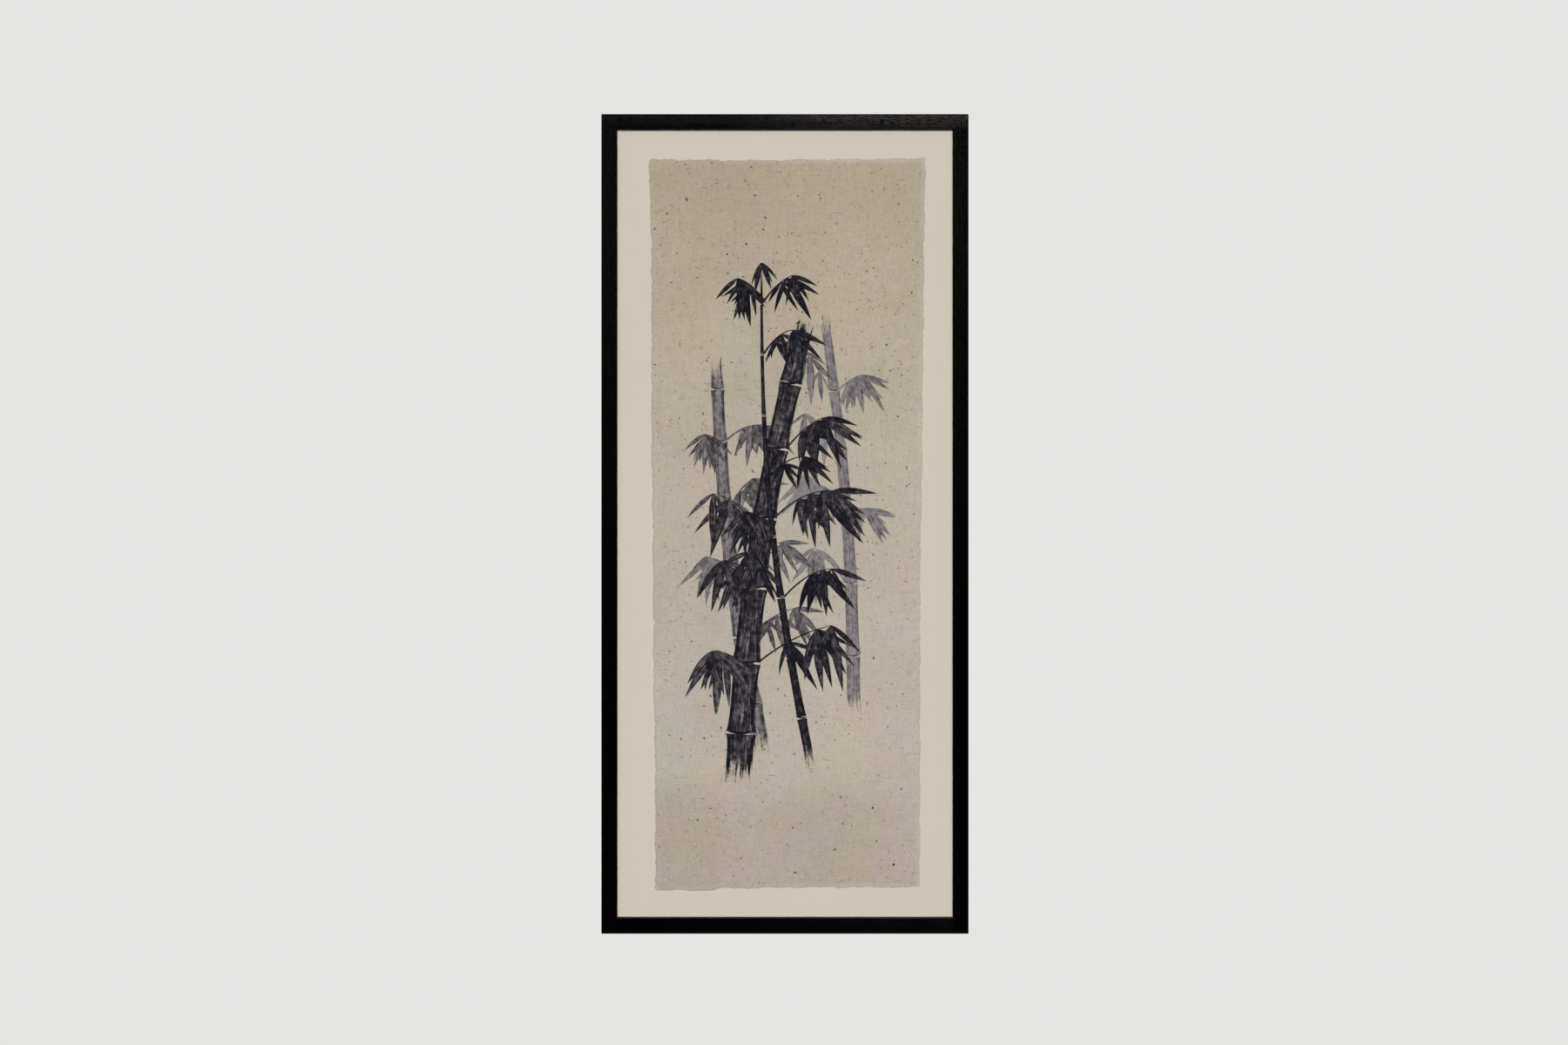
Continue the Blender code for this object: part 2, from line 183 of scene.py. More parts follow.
# The mark at a joint: its spread, its thickness and growth with width, how its ends rise and thin, its tone
JOINT_STEPS = 8
JOINT_SPREAD = 1.14
JOINT_THICK = 0.0007
JOINT_GROWTH = 0.05
JOINT_BOW = 0.22
JOINT_TAPER = 0.55
JOINT_DARKER = 0.35
# How likely a joint has a branch on its own side, and one on the other side
BRANCH_CHANCES = (0.88, 0.36)
BRANCH_STEPS = 10
BRANCH_CLIMB = (38, 66)
BRANCH_DROOP = (0.20, 0.48)
BRANCH_LENGTHS = (0.80, 1.15)
BRANCH_HALVES = (0.0013, 0.0005)
BRANCH_RISE = 0.001
BRANCH_LIMIT = 0.112
BRANCH_SHORTEST = 0.02
# How long branches and leaves are at a culm's foot, and how much less at its top
BRANCH_FOOT, BRANCH_LESS = 1.2, 0.55
LEAF_FOOT, LEAF_LESS = 1.1, 0.30
# A branch's tone from its culm's, and at the darkest
BRANCH_SHADES = (-0.16, 0.10)
DARKEST_BRANCH = 0.03
# The steps of a branch where leaves hang, and how large they are there
LEAF_PLACES = ((4, 0.70), (6, 0.92), (8, 1.0), (10, 0.84))
LEAVES_MISSING = 0.28
LEAF_COUNTS = (3, 4, 4, 5, 6)
# The fan in which leaves hang, its lean outward, the wind's and each leaf's own, in degrees
LEAF_FAN = 96
LEAF_LEAN = 26
WIND = 13
LEAF_SWAY = 11
# A leaf's length in the fan's middle and what it loses towards the sides, then how each leaf varies
FAN_MIDDLE, FAN_LESS = 1.12, 0.60
LEAF_SIZES = (0.74, 1.16)
LEAF_WIDTHS = (0.125, 0.173)
LEAF_BENDS = (0.10, 0.30)
LEAF_CURL = 0.06
LEAF_SHADE = 0.12
# A leaf's outline: how soon it is fullest, how round and full it is, and how it thins to its point
LEAF_STEPS = 12
LEAF_FULLEST = 0.8
LEAF_ROUND = 0.9
LEAF_BELLY, LEAF_TAPER = 1.12, 0.3
STALK_HALF = 0.0004
# The tuft on top of the last culm: how many leaves, their length and tone
TUFT = (5, 0.042, 0.10)

# Colours as 0 to 255 channels
BACKDROP_COLOUR = (229, 229, 228)
FLOOR_COLOURS = ((224, 224, 223), (230, 230, 229))
# The paper's tones by height above the frame's centre
PAPER_TONES = (
    (0.43, (173, 160, 141)),
    (0.33, (177, 165, 145)),
    (0.20, (180, 169, 152)),
    (-0.12, (184, 174, 161)),
    (-0.30, (184, 174, 161)),
    (-0.38, (175, 164, 151)),
)
PAPER_RIM = (189, 184, 171)
FLECK_COLOUR = (46, 37, 27)
INK_DARK = (22, 21, 30)
INK_PALE = (140, 132, 134)
BOARD_COLOUR = (205, 195, 182)
WOOD_BLACK = (1, 1, 1)
# The colour that the painted sheen on the rails' front and outer sides lightens the black towards
WOOD_PAINTED_SHEEN = (78, 75, 73)
WOOD_BACK = (66, 53, 41)
BACKING_BROWN = (134, 108, 78)
BACKING_DARK = (98, 76, 53)
BACKING_SCUFF = (176, 152, 120)
SPACER_COLOURS = ((10, 10, 10), (26, 26, 26))
STEEL_LIGHT = (190, 190, 186)
STEEL_DARK = (150, 150, 148)
# What the glazing lets through, as shares of red, green and blue light
GLAZING_CLEAR = (0.985, 0.988, 0.985, 1.0)

# How the paper's soft patches turn its colour, as factors of its channels
YELLOW_CAST = (1.0, 1.0, 0.925)
BLUE_CAST = (1.0, 1.0, 1.075)
RED_CAST = (1.019, 0.981, 0.99)
GREEN_CAST = (0.981, 1.019, 1.01)
# How much calmer they are from the middle up, from 0 to a half, and between which heights that changes
CALMER = 0.23
CALM_HEIGHTS = (-0.36, -0.10)
# How dark the sheet's left side is beside its right one
LEFT_SHADE = 0.97
# How much the woven ground and the pulp lighten and darken the paper
WEAVE_DEPTH = 0.22
PULP_DEPTH = 0.68
# The pale torn rim: the distances from the edge between which it grows, their sway, its strength at the left
RIM_FADE = (0.0075, -0.0025)
RIM_SWAY = 0.0015
RIM_LEFT = 0.45

# Noise patterns: changes in a metre along x, y and z, octaves, their roughness, and where it starts
Pattern = namedtuple("Pattern", "scale detail roughness start", defaults=(2, 0.5, 0.0))
PATTERNS = {
    "glazing_smudges": Pattern((9, 9, 5), 3),
    "glazing_sway": Pattern((14, 14, 14), 1),
    "board_tooth": Pattern((900, 900, 900), 3),
    "board_clouds": Pattern((7, 7, 7)),
    "paper_clouds": Pattern((21, 21, 17), 5, 0.68),
    "paper_patches": Pattern((17, 17, 14), 4, 0.62, 23.0),
    "paper_upright": Pattern((430, 30, 95)),
    "paper_level": Pattern((90, 30, 450), start=5.0),
    "paper_pulp": Pattern((760, 760, 760), 3, 0.7, 9.0),
    "paper_drift": Pattern((8, 8, 8), 3, 0.55, 3.0),
    "paper_mottle": Pattern((46, 46, 46), start=7.0),
    "paper_specks": Pattern((520, 520, 520), start=13.0),
    "ink_mottle": Pattern((170, 170, 150), 4, 0.65, 2.0),
    "backing_fibres": Pattern((430, 430, 240), 6, 0.72),
    "backing_chips": Pattern((520, 520, 300), start=4.0),
    "backing_clouds": Pattern((6, 6, 4), 3),
    "backing_scuffs": Pattern((12, 12, 150), 4, start=8.0),
    "spacer_grain": Pattern((1500, 1500, 1500), 3),
    "level_steel_lines": Pattern((90, 1700, 1700), 3),
    "upright_steel_lines": Pattern((1700, 1700, 90), 3),
    "steel_bloom": Pattern((190, 190, 190), 4, 0.6, 6.0),
    "floor_clouds": Pattern((3, 3, 3), 3),
}
USUAL_NOISE = (0.3, 0.7)
# Changes of a brush's streaks in a metre along a stroke, in half its width, and with its tone
BRISTLES = (22, 5.5, 37)
# The wood's grain: changes in a metre along and across a rail, and octaves
WOOD_RINGS = (4, 210, 2)
WOOD_PORES = (150, 780, 2)
WOOD_STREAKS = (34, 520, 3)
# How the grain's lines wander: changes in a metre along and across, how far, and each rail's own start
WOOD_DRIFT = (26, 60)
WOOD_WANDER = 0.006
RAIL_START = 3.7

# The painted sheen on each rail's front, as if lit from above and the right: how light it is at its left or
# lower and its right or upper end, between which shares of its length that changes, how it is scaled at a
# level rail's lower and upper edge, and in an upright one's top corner
Lift = namedtuple("Lift", "ends span edges corner", defaults=((1.0, 1.0), 0.0))
RAIL_PAINTED_SHEEN = {
    "top_rail": Lift(ends=(0.15, 0.59), span=(0.30, 0.70), edges=(0.38, 1.05)),
    "bottom_rail": Lift(ends=(0.0, 0.062), span=(0.15, 1.1), edges=(0.35, 1.0)),
    "left_rail": Lift(ends=(0.0, 0.083), span=(0.30, 1.05), corner=0.15),
    "right_rail": Lift(ends=(0.0, 0.083), span=(0.30, 1.05), corner=0.62),
}
LEVEL_RAILS = ("top_rail", "bottom_rail")
# How far inside a rail's edges its painted sheen changes, how far down the painted light of the top corner
# reaches, and between which distances from its right end the foot rail's painted sheen fades out
EDGE_INSET = 0.001
CORNER_REACH = 0.024
DARK_END = (0.021, 0.019)
# How light the outer sides' painted sheen is at least, and the depths in from a side and the front where it
# begins
SIDE_PAINTED_SHEEN = 0.24
SIDE_SKIN = (0.0008, 0.0003)
FRONT_SKIN = (0.0003, 0.0012)
# The bare wood of a rail's back, between these depths
BACK_SKIN = (-0.0010, -0.0002)

# The glazing's gloss, seen straight on, and how slowly it grows towards its edge-on view
GLAZING_GLOSS = 0.003
GLAZING_POWER = 6

# The hanger rings, as the frame has them, and how finely they are drawn
RING_WIRE_RADIUS = 0.0010
RING_SIDE = 0.0056
RING_STRAIGHT = 0.006
RING_BEND = 0.0014
RING_LEAN = radians(30)
RING_STEPS = 32
RING_BEND_STEPS = 8
WIRE_ROUNDNESS = 5
# The rounding of the small steel pieces' edges
TAB_EDGE = 0.00012
HANGER_EDGE = 0.00015


def linear(channel):
    """One 0 to 255 colour channel as linear light."""
    share = channel / 255
    return share / 12.92 if share <= 0.04045 else ((share + 0.055) / 1.055) ** 2.4


def tint(colour):
    return (*(linear(channel) for channel in colour), 1.0)


def between(first, last, share):
    return first + (last - first) * share


def evenly(steps):
    """Shares from 0 to 1, both among them, a step apart."""
    return [i / steps for i in range(steps + 1)]


class Nodes:
    """A node tree in the making. Each method adds one node and returns its output socket."""

    def __init__(self, tree):
        self.tree = tree

    def add(self, kind, values, output=0, **settings):
        node = self.tree.nodes.new(kind)
        for name, setting in settings.items():
            setattr(node, name, setting)
        for socket, value in values.items():
            self.feed(node.inputs[socket], value)
        return node.outputs[output]

    def feed(self, socket, value):
        if isinstance(value, bpy.types.NodeSocket):
            self.tree.links.new(value, socket)
        else:
            socket.default_value = value

    def axes(self, vector):
        node = self.tree.nodes.new("ShaderNodeSeparateXYZ")
        self.feed(node.inputs[0], vector)
        return node.outputs

    def joined(self, x, y, z):
        return self.add("ShaderNodeCombineXYZ", {0: x, 1: y, 2: z})

    def attribute(self, name, output="Vector"):
        return self.add("ShaderNodeAttribute", {}, output, attribute_name=name)

    def plus(self, first, second):
        return self.add("ShaderNodeMath", {0: first, 1: second}, operation="ADD")

    def times(self, first, second):
        return self.add("ShaderNodeMath", {0: first, 1: second}, operation="MULTIPLY")

    def larger(self, first, second):
        return self.add("ShaderNodeMath", {0: first, 1: second}, operation="MAXIMUM")

    def power(self, value, exponent):
        return self.add("ShaderNodeMath", {0: value, 1: exponent}, operation="POWER")

    def noise(self, vector, detail=2, roughness=0.5):
        values = {"Vector": vector, "Scale": 1.0, "Detail": detail, "Roughness": roughness}
        return self.add("ShaderNodeTexNoise", values)

    def share(self, value, low, high):
        """Where a value lies between low and high, from 0 to 1."""
        return self.add("ShaderNodeMapRange", {"Value": value, "From Min": low, "From Max": high})

    def ramp(self, value, low, high, first=0.0, second=1.0):
        """Takes low..high to first..second with soft ends, and holds it there beyond them."""
        values = {"Value": value, "From Min": low, "From Max": high, "To Min": first, "To Max": second}
        return self.add("ShaderNodeMapRange", values, interpolation_type="SMOOTHSTEP")

    def mix(self, share, first, second):
        return self.add("ShaderNodeMix", {0: share, 6: first, 7: second}, 2, data_type="RGBA")

    def scaled(self, colour, factor):
        return self.add("ShaderNodeVectorMath", {0: colour, "Scale": factor}, operation="SCALE")

    def cast(self, colour, other):
        return self.add("ShaderNodeVectorMath", {0: colour, 1: other}, operation="MULTIPLY")

    def bump(self, height, distance, strength=1.0):
        return self.add("ShaderNodeBump", {"Height": height, "Distance": distance, "Strength": strength})


class Look(Nodes):
    """A material in the making, for pieces that are measured in metres."""

    def __init__(self, name, specular=0.5, metallic=0.0):
        self.material = bpy.data.materials.new(name)
        self.material.use_nodes = True
        super().__init__(self.material.node_tree)
        self.surface = self.tree.nodes["Principled BSDF"]
        self.surface.inputs["Specular IOR Level"].default_value = specular
        self.surface.inputs["Metallic"].default_value = metallic
        self.position = self.add("ShaderNodeTexCoord", {}, "Object")

    def pattern(self, name):
        """One of the noise patterns, over the piece's own place in metres."""
        scale, detail, roughness, start = PATTERNS[name]
        scaled = {"Vector": self.position, "Scale": scale, "Location": (start, start, start)}
        return self.noise(self.add("ShaderNodeMapping", scaled), detail, roughness)

    def vary(self, pattern, first, second):
        """Takes the usual values of a noise pattern to first..second."""
        return self.ramp(pattern, *USUAL_NOISE, first, second)

    def wear(self, colour, roughness, height, depth):
        """Gives the surface its colour, its roughness and a relief of this depth."""
        parts = {"Base Color": colour, "Roughness": roughness, "Normal": self.bump(height, depth)}
        for name, value in parts.items():
            self.feed(self.surface.inputs[name], value)
        return self.material


def black_wood(rail):
    """Stained open-grain wood, its grain along the rail, under a painted sheen: on its front lighter towards
    the top right of the frame, and on its outer sides.
    """
    look = Look(f"{rail}_wood", specular=0.05)
    x, y, z = look.axes(look.position)
    along, across = (x, z) if rail in LEVEL_RAILS else (z, x)
    start = RAIL_START * list(RAIL_PAINTED_SHEEN).index(rail)
    along_drift, across_drift = WOOD_DRIFT
    drift = look.joined(look.times(along, along_drift), look.times(across, across_drift), start)
    across = look.plus(across, look.times(look.noise(drift), WOOD_WANDER))

    def grain(along_scale, across_scale, detail):
        place = look.joined(
            look.times(along, along_scale),
            look.times(across, across_scale),
            look.times(y, across_scale),
        )
        return look.noise(place, detail)

    rings = look.ramp(grain(*WOOD_RINGS), 0.36, 0.64)
    pores = look.ramp(grain(*WOOD_PORES), 0.49, 0.57)
    streaks = look.ramp(grain(*WOOD_STREAKS), 0.30, 0.70)
    open_pores = look.times(pores, look.plus(0.45, look.times(rings, 0.55)))
    body = look.plus(0.45, look.times(streaks, 0.55))
    # lift: the painted sheen of the front or of the outer sides, whichever is lighter
    lift = look.larger(front_painted_sheen(look, rail, x, z), side_painted_sheen(look, rail, x, y, z))
    # The black stain turns towards the painted sheen's colour, less so in the open pores
    shade = look.times(look.times(lift, body), look.ramp(open_pores, 0.0, 0.9, 1.0, 0.2))
    colour = look.mix(shade, tint(WOOD_BLACK), tint(WOOD_PAINTED_SHEEN))
    back = look.times(look.ramp(y, *BACK_SKIN), look.plus(0.35, look.times(streaks, 0.65)))
    colour = look.mix(back, colour, tint(WOOD_BACK))
    height = look.plus(look.times(open_pores, -1.0), look.times(streaks, 0.3))
    roughness = look.ramp(open_pores, 0.0, 1.0, 0.34, 0.6)
    return look.wear(colour, roughness, height, 0.00016)


def front_painted_sheen(look, rail, x, z):
    """The painted sheen on a rail's front, as if lit from above and the right, from 0 to 1."""
    low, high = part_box(rail)
    ends, span, edges, corner = RAIL_PAINTED_SHEEN[rail]
    if rail in LEVEL_RAILS:
        lift = look.ramp(look.share(x, low.x, high.x), *span, *ends)
        lift = look.times(lift, look.ramp(z, low.z + EDGE_INSET, high.z - EDGE_INSET, *edges))
    else:
        lift = look.ramp(look.share(z, low.z, high.z), *span, *ends)
        # The top corner of an upright gets painted light like the top rail's end beside it
        light_corner = look.ramp(z, high.z - CORNER_REACH, high.z - EDGE_INSET, 0.0, corner)
        lift = look.larger(lift, light_corner)
    if rail == "bottom_rail":
        # The foot rail's painted sheen stops short of its right end
        start, end = DARK_END
        lift = look.times(lift, look.ramp(x, high.x - start, high.x - end, 1.0, 0.0))
    return lift


def side_painted_sheen(look, rail, x, y, z):
    """The painted sheen on the frame's outer side, from just behind the edge of its front."""
    low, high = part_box(rail)
    across, outer, inward = {
        "top_rail": (z, high.z, -1),
        "bottom_rail": (z, low.z, 1),
        "left_rail": (x, low.x, 1),
        "right_rail": (x, high.x, -1),
    }[rail]
    outside = look.ramp(across, *(outer + inward * depth for depth in SIDE_SKIN))
    # The outer sides get an even painted sheen, so that their grain shows
    behind_front = look.ramp(y, *(low.y + depth for depth in FRONT_SKIN), 0.0, SIDE_PAINTED_SHEEN)
    return look.times(outside, behind_front)


def clear_glazing():
    """Low-reflection glazing: it lets nearly all light through, and its sheen is uneven by a hair."""
    look = Look("clear_glazing")
    look.tree.nodes.remove(look.surface)
    roughness = look.ramp(look.pattern("glazing_smudges"), 0.35, 0.7, 0.02, 0.08)
    sway = look.bump(look.pattern("glazing_sway"), 0.0004, 0.25)
    clear = look.add("ShaderNodeBsdfTransparent", {"Color": GLAZING_CLEAR})
    mirror = {"Color": (1, 1, 1, 1), "Roughness": roughness, "Normal": sway}
    gloss = look.add("ShaderNodeBsdfGlossy", mirror)
    facing = look.add("ShaderNodeLayerWeight", {"Blend": 0.5, "Normal": sway}, "Facing")
    share = look.plus(look.power(facing, GLAZING_POWER), GLAZING_GLOSS)
    pane = look.add("ShaderNodeMixShader", {0: share, 1: clear, 2: gloss})
    look.feed(look.tree.nodes["Material Output"].inputs["Surface"], pane)
    return look.material


def mount_board():
    """Smooth cream board with a fine tooth."""
    look = Look("mount_board", specular=0.05)
    tooth = look.pattern("board_tooth")
    cloud = look.vary(look.pattern("board_clouds"), -0.004, 0.004)
    shade = look.plus(look.vary(tooth, 0.992, 1.004), cloud)
    colour = look.scaled(tint(BOARD_COLOUR)[:3], shade)
    roughness = look.vary(tooth, 0.86, 0.94)
    return look.wear(colour, roughness, tooth, 0.00005)


def handmade_paper():
    """Handmade paper: its mottling, woven ground, torn rim and flecks, and the brush picture over it."""
    look = Look("handmade_paper", specular=0.02)
    x, _, z = look.axes(look.position)
    left, right = SHEET_LEFT[0][1], SHEET_RIGHT[0][1]
    clouds = look.pattern("paper_clouds")
    weave = look.plus(look.pattern("paper_upright"), look.pattern("paper_level"))
    pulp = look.pattern("paper_pulp")
    ground = look.plus(look.times(weave, WEAVE_DEPTH), look.times(pulp, PULP_DEPTH))
    ground = look.plus(ground, 1.0 - WEAVE_DEPTH - PULP_DEPTH / 2)
    colour = look.scaled(paper_tone(look, clouds, z), ground)
    rim = look.plus(look.attribute("rim", "Fac"), look.vary(clouds, -RIM_SWAY, RIM_SWAY))
    rim = look.times(look.ramp(rim, *RIM_FADE), look.ramp(x, left, right, RIM_LEFT, 1.0))
    colour = look.mix(rim, colour, tint(PAPER_RIM))
    drift = look.vary(look.pattern("paper_drift"), 0.968, 1.032)
    mottle = look.vary(look.pattern("paper_mottle"), 0.987, 1.013)
    for shade in (drift, mottle, look.ramp(x, left, right, LEFT_SHADE, 1.0)):
        colour = look.scaled(colour, shade)
    specks = look.ramp(look.pattern("paper_specks"), 0.64, 0.74, 0.0, 0.16)
    ink_cover, fleck_cover, dryness = look.axes(look.attribute("cover"))
    colour = look.mix(look.larger(specks, fleck_cover), colour, tint(FLECK_COLOUR))
    colour, ink_share = brushed_ink(look, colour, ink_cover, dryness, ground)
    roughness = look.ramp(ink_share, 0.0, 1.0, 0.92, 0.78)
    height = look.plus(look.times(weave, 0.6), pulp)
    return look.wear(colour, roughness, height, 0.00012)


def paper_tone(look, clouds, z):
    """The paper's colour by its height, turned a little by soft patches, more so at the foot."""
    colour = tint(PAPER_TONES[0][1])
    for (above, _), (below, tone) in zip(PAPER_TONES, PAPER_TONES[1:]):
        colour = look.mix(look.ramp(z, CENTRE.z + above, CENTRE.z + below), colour, tint(tone))
    patches = look.pattern("paper_patches")
    foot, middle = (CENTRE.z + height for height in CALM_HEIGHTS)
    calm = look.ramp(z, foot, middle, 0.0, CALMER)
    strong = look.ramp(z, foot, middle, 1.0, 1.0 - CALMER)
    for pattern, first, second in ((clouds, YELLOW_CAST, BLUE_CAST), (patches, RED_CAST, GREEN_CAST)):
        share = look.ramp(pattern, 0.34, 0.66, calm, strong)
        colour = look.cast(colour, look.mix(share, (*first, 1), (*second, 1)))
    return colour


def brushed_ink(look, paper, ink_cover, dryness, ground):
    """Ink over the paper: streaked along each stroke, darker at its sides, and dry where it runs out."""
    stroke = look.axes(look.attribute("stroke"))
    _, side, tone = stroke
    bristles = look.joined(*(look.times(part, scale) for part, scale in zip(stroke, BRISTLES)))
    streaks = look.noise(bristles, 4, 0.6)
    mottle = look.pattern("ink_mottle")
    middle = look.ramp(look.times(side, side), 0.75, 0.0, 0.0, 0.14)
    shade = look.plus(look.plus(tone, middle), look.vary(streaks, -0.24, 0.20))
    shade = look.plus(shade, look.ramp(mottle, 0.35, 0.65, -0.16, 0.14))
    shade = look.ramp(shade, -0.13, 1.06)
    ink = look.mix(look.times(shade, shade), tint(INK_DARK), tint(INK_PALE))
    ink = look.scaled(ink, ground)
    dry = look.plus(look.plus(streaks, look.times(mottle, 0.25)), look.times(dryness, 0.34))
    ink_share = look.times(ink_cover, look.ramp(dry, 0.74, 0.92, 1.0, 0.0))
    return look.mix(ink_share, paper, ink), ink_share


def backing_board():
    """Brown hardboard: pressed fibres, a few darker chips and pale scuffs."""
    look = Look("backing_board", specular=0.3)
    fibres = look.pattern("backing_fibres")
    chips = look.ramp(look.pattern("backing_chips"), 0.64, 0.72)
    clouds = look.vary(look.pattern("backing_clouds"), 0.86, 1.12)
    scuffs = look.ramp(look.pattern("backing_scuffs"), 0.66, 0.78, 0.0, 0.4)
    colour = look.mix(look.ramp(fibres, 0.25, 0.7), tint(BACKING_DARK), tint(BACKING_BROWN))
    colour = look.mix(look.times(chips, 0.6), colour, tint(BACKING_DARK))
    colour = look.mix(scuffs, look.scaled(colour, clouds), tint(BACKING_SCUFF))
    roughness = look.vary(fibres, 0.62, 0.85)
    return look.wear(colour, roughness, fibres, 0.00012)


def black_spacer():
    """Matte black plastic strip with a fine moulded grain."""
    look = Look("black_spacer", specular=0.25)
    grain = look.pattern("spacer_grain")
    colour = look.mix(grain, *(tint(colour) for colour in SPACER_COLOURS))
    roughness = look.vary(grain, 0.5, 0.7)
    return look.wear(colour, roughness, grain, 0.00003)


def plated_steel(name):
    """Plated steel, rolled level or upright as its name says, with a dull bloom here and there."""
    look = Look(name, metallic=1.0)
    lines = look.pattern(f"{name}_lines")
    bloom = look.pattern("steel_bloom")
    colour = look.mix(look.ramp(bloom, 0.35, 0.7), tint(STEEL_LIGHT), tint(STEEL_DARK))
    colour = look.scaled(colour, look.vary(lines, 0.92, 1.04))
    dullness = look.ramp(bloom, 0.4, 0.7, 0.0, 0.14)
    roughness = look.plus(look.vary(lines, 0.22, 0.38), dullness)
    return look.wear(colour, roughness, lines, 0.00002)


def pale_floor():
    """A pale studio floor with a glow of its own, so that it is as even as the backdrop."""
    look = Look("pale_floor", specular=0.2)
    colour = look.mix(look.pattern("floor_clouds"), *(tint(colour) for colour in FLOOR_COLOURS))
    inputs = look.surface.inputs
    inputs["Roughness"].default_value = FLOOR_ROUGHNESS
    inputs["Emission Strength"].default_value = FLOOR_GLOW
    look.feed(inputs["Base Color"], look.scaled(colour, FLOOR_LIT))
    look.feed(inputs["Emission Color"], colour)
    return look.material


def between_knots(knots, along):
    """How far across an edge lies at one place along it, with smooth bends at its knots."""
    for (start, first), (end, second) in zip(knots, knots[1:]):
        share = (along - start) / (end - start)
        if share <= 1:
            break
    share = max(0.0, share)
    return between(first, second, share * share * (3 - 2 * share))


def deckle(run):
    """The torn edge's offset at a run along the sheet's outline."""
    waves = sum(high * sin(2 * pi * run / long + start) for high, long, start in DECKLE_WAVES)
    return waves + sum(high * noise.noise(Vector((run / long, long, 0))) for high, long in DECKLE_TEETH)


def corner_points(corner, upright):
    """Points that round a corner of the sheet, at the end of an edge."""
    across = copysign(SHEET_CORNER, -corner[0])
    up = copysign(SHEET_CORNER, -corner[1])
    points = []
    for share in evenly(CORNER_STEPS)[1:-1]:
        turn = pi / 2 * (1 - share if upright else share)
        points.append((corner[0] + across * (1 - sin(turn)), corner[1] + up * (1 - cos(turn))))
    return points


def sheet_outline():
    """The sheet's outline round the frame's centre, clockwise seen from the front."""
    outline = []
    run = 0.0
    for knots, upright in SHEET_EDGES:
        (start, _), (end, end_across) = knots[0], knots[-1]
        forward = copysign(1, end - start)
        length = abs(end - start) - 2 * SHEET_CORNER
        count = round(length / SHEET_STEP)
        for i in range(count + 1):
            distance = SHEET_CORNER + length * i / count
            along = start + forward * distance
            across = between_knots(knots, along) + deckle(run + distance)
            outline.append((across, along) if upright else (along, across))
        run += length + 2 * SHEET_CORNER
        outline += corner_points((end_across, end) if upright else (end, end_across), upright)
    return outline


def inset_steps(length):
    """Places along a length, close together near its ends and a grid step apart between them."""
    last = RIM_STEPS[-1]
    count = round((length - 2 * last) / SHEET_GRID)
    inner = [last + (length - 2 * last) * i / count for i in range(count + 1)]
    return [*RIM_STEPS[:-1], *inner, *(length - step for step in reversed(RIM_STEPS[:-1]))]


def sheet_grid():
    """Points all over the sheet, which follow its edges."""
    left, right = SHEET_LEFT[0][1], SHEET_RIGHT[0][1]
    height = SHEET_TOP[0][1] - SHEET_BOTTOM[0][1]
    points = []
    for across in inset_steps(right - left):
        x = left + across
        bottom, top = between_knots(SHEET_BOTTOM, x), between_knots(SHEET_TOP, x)
        for up in inset_steps(height):
            z = bottom + (top - bottom) * up / height
            near, far = between_knots(SHEET_LEFT, z), between_knots(SHEET_RIGHT, z)
            points.append((between(near, far, across / (right - left)), z))
    return [point for point in points if rim_distance(*point) > RIM_STEPS[0] / 2]


def rim_distance(x, z):
    """How far a point is from the nearest edge of the sheet."""
    return min(
        x - between_knots(SHEET_LEFT, z),
        between_knots(SHEET_RIGHT, z) - x,
        between_knots(SHEET_TOP, x) - z,
        z - between_knots(SHEET_BOTTOM, x),
    )


def cockle(x, z):
    """How far the sheet lifts off the board. Its rim lies flat."""
    lift = 0.0
    for height, across, up, start in COCKLE_WAVES:
        wave = sin(2 * pi * x / across + start) * sin(2 * pi * z / up + 2 * start)
        lift += height * (1 + wave)
    share = max(0.0, min(1.0, rim_distance(x, z) / FLAT_RIM))
    return lift * share * share * (3 - 2 * share)


Stroke = namedtuple("Stroke", "spine halves tone dry_start dry_end", defaults=(0.0, 0.0))


def ribbon(spine, halves):
    """The outline of a stroke, anticlockwise, from its centre line and its half-widths along it."""
    left = []
    right = []
    for i, (point, half) in enumerate(zip(spine, halves)):
        direction = (spine[min(i + 1, len(spine) - 1)] - spine[max(i - 1, 0)]).normalized()
        side = Vector((-direction.y, direction.x)) * half
        right.append(tuple(point - side))
        if half > 0:
            left.append(tuple(point + side))
    return right + left[::-1]


def stroke_place(stroke, point):
    """How far along a stroke a point lies, how far across it from -1 to 1, and how dry it is there."""
    nearest = None
    run = 0.0
    for i in range(len(stroke.spine) - 1):
        start = stroke.spine[i]
        span = stroke.spine[i + 1] - start
        share = min(1.0, max(0.0, (point - start).dot(span) / span.length_squared))
        gap = point - start - span * share
        if nearest is None or gap.length < nearest[0]:
            half = max(between(stroke.halves[i], stroke.halves[i + 1], share), THINNEST_HALF)
            across = copysign(gap.length, span.x * gap.y - span.y * gap.x) / half
            nearest = (gap.length, run + share * span.length, max(-1.0, min(1.0, across)))
        run += span.length
    _, along, across = nearest
    dryness = 0.0
    if stroke.dry_start:
        dryness = max(dryness, 1 - along / stroke.dry_start)
    if stroke.dry_end:
        dryness = max(dryness, 1 - (run - along) / stroke.dry_end)
    return along, across, dryness


def culm_point(culm, share):
    """A point on a culm's gently bent centre line."""
    foot, top = Vector(culm.foot), Vector(culm.top)
    side = Vector((top.y - foot.y, foot.x - top.x)).normalized()
    return foot + (top - foot) * share + side * culm.bend * sin(pi * share)


def culm_half(culm, share):
    return between(culm.foot_half, culm.top_half, share)


